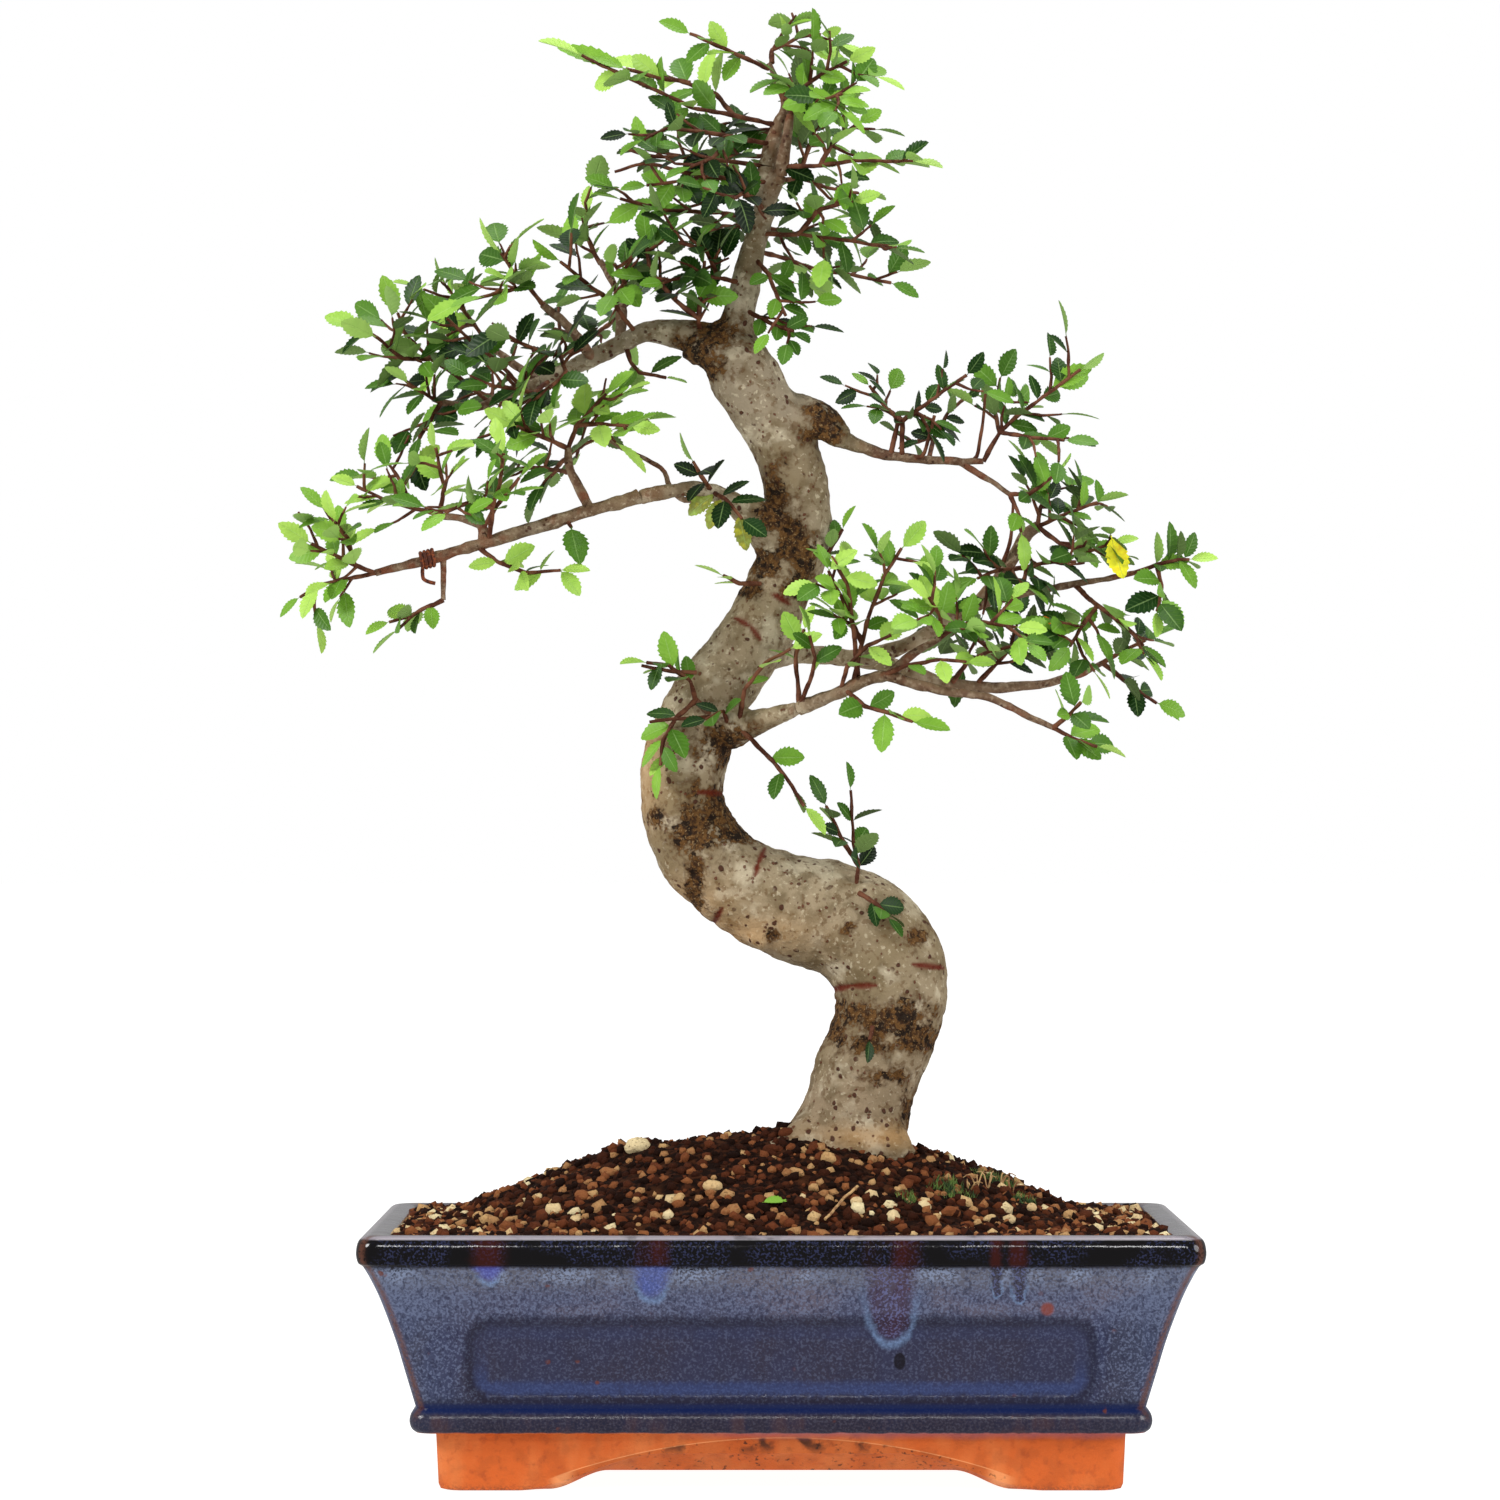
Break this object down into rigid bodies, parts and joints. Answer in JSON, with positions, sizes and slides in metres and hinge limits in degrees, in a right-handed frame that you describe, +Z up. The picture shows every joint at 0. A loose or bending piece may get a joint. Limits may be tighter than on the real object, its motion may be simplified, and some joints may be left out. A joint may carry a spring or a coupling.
{
  "type": "chinese elm bonsai",
  "caption": "Potted Chinese elm bonsai: S-curved trunk, branches with serrated-leaf sprays, mounded soil and a low rectangular glazed pot on bare clay feet.",
  "frame": {"origin": "on the ground under the pot's feet, in the middle of the whole object's box; the pot's own middle is 11 mm further along +X", "axes": "+Z up, +X to the right along the pot's long side, +Y from the front of the pot to its back"},
  "size_m": [0.3327, 0.22, 0.5369],
  "materials": {
    "pot": "gloss",
    "drain_screens": "matte",
    "soil": "matte",
    "wood": "matte",
    "wire": "matte",
    "leaves": "satin"
  },
  "bodies": {
    "root": {"pot": "pot", "drain_screen_left": "drain_screens", "drain_screen_right": "drain_screens", "soil": "soil", "trunk_and_branches": "wood", "wire_tie": "wire", "spray_crown_tip_left": "leaves", "spray_crown_long_left": "leaves", "spray_crown_top": "leaves", "spray_crown_top_right": "leaves", "spray_crown_left_front": "leaves", "spray_crown_left_back": "leaves", "spray_crown_left_low": "leaves", "spray_leader_left": "leaves", "spray_crown_right": "leaves", "spray_crown_right_back": "leaves", "spray_leader_right": "leaves", "spray_leader_right_low": "leaves", "spray_leader_front_low": "leaves", "spray_leader_front": "leaves", "spray_leader_left_low": "leaves", "spray_crown_back": "leaves", "spray_leader_back": "leaves", "spray_leader_foot": "leaves", "spray_shoulder_left": "leaves", "spray_high_left_crest": "leaves", "spray_high_left_ridge": "leaves", "spray_high_left_peak": "leaves", "spray_high_left_front_low": "leaves", "spray_high_left_outer": "leaves", "spray_high_left_mid": "leaves", "spray_high_left_round": "leaves", "spray_high_left_end": "leaves", "spray_high_left_under": "leaves", "spray_high_left_rear": "leaves", "spray_high_left_rear_low": "leaves", "spray_low_left_end": "leaves", "spray_low_left_arm_end": "leaves", "spray_low_left_bend": "leaves", "spray_low_left_bright": "leaves", "spray_low_left_rear": "leaves", "spray_low_left_drop_end": "leaves", "spray_low_left_pale": "leaves", "spray_low_left_front": "leaves", "spray_high_right_front": "leaves", "spray_high_right_rear": "leaves", "spray_high_right_end": "leaves", "spray_high_right_droop_end": "leaves", "spray_mid_right_end": "leaves", "spray_long_right_end": "leaves", "spray_long_right_under": "leaves", "spray_long_right_top": "leaves", "spray_back_right_end": "leaves", "spray_back_right_top": "leaves", "spray_front_right_end": "leaves", "spray_front_right_rise_end": "leaves", "spray_front_right_hang": "leaves", "spray_front_right_upright": "leaves", "spray_trunk_sprout": "leaves", "spray_front_left": "leaves"}
  },
  "joints": []
}
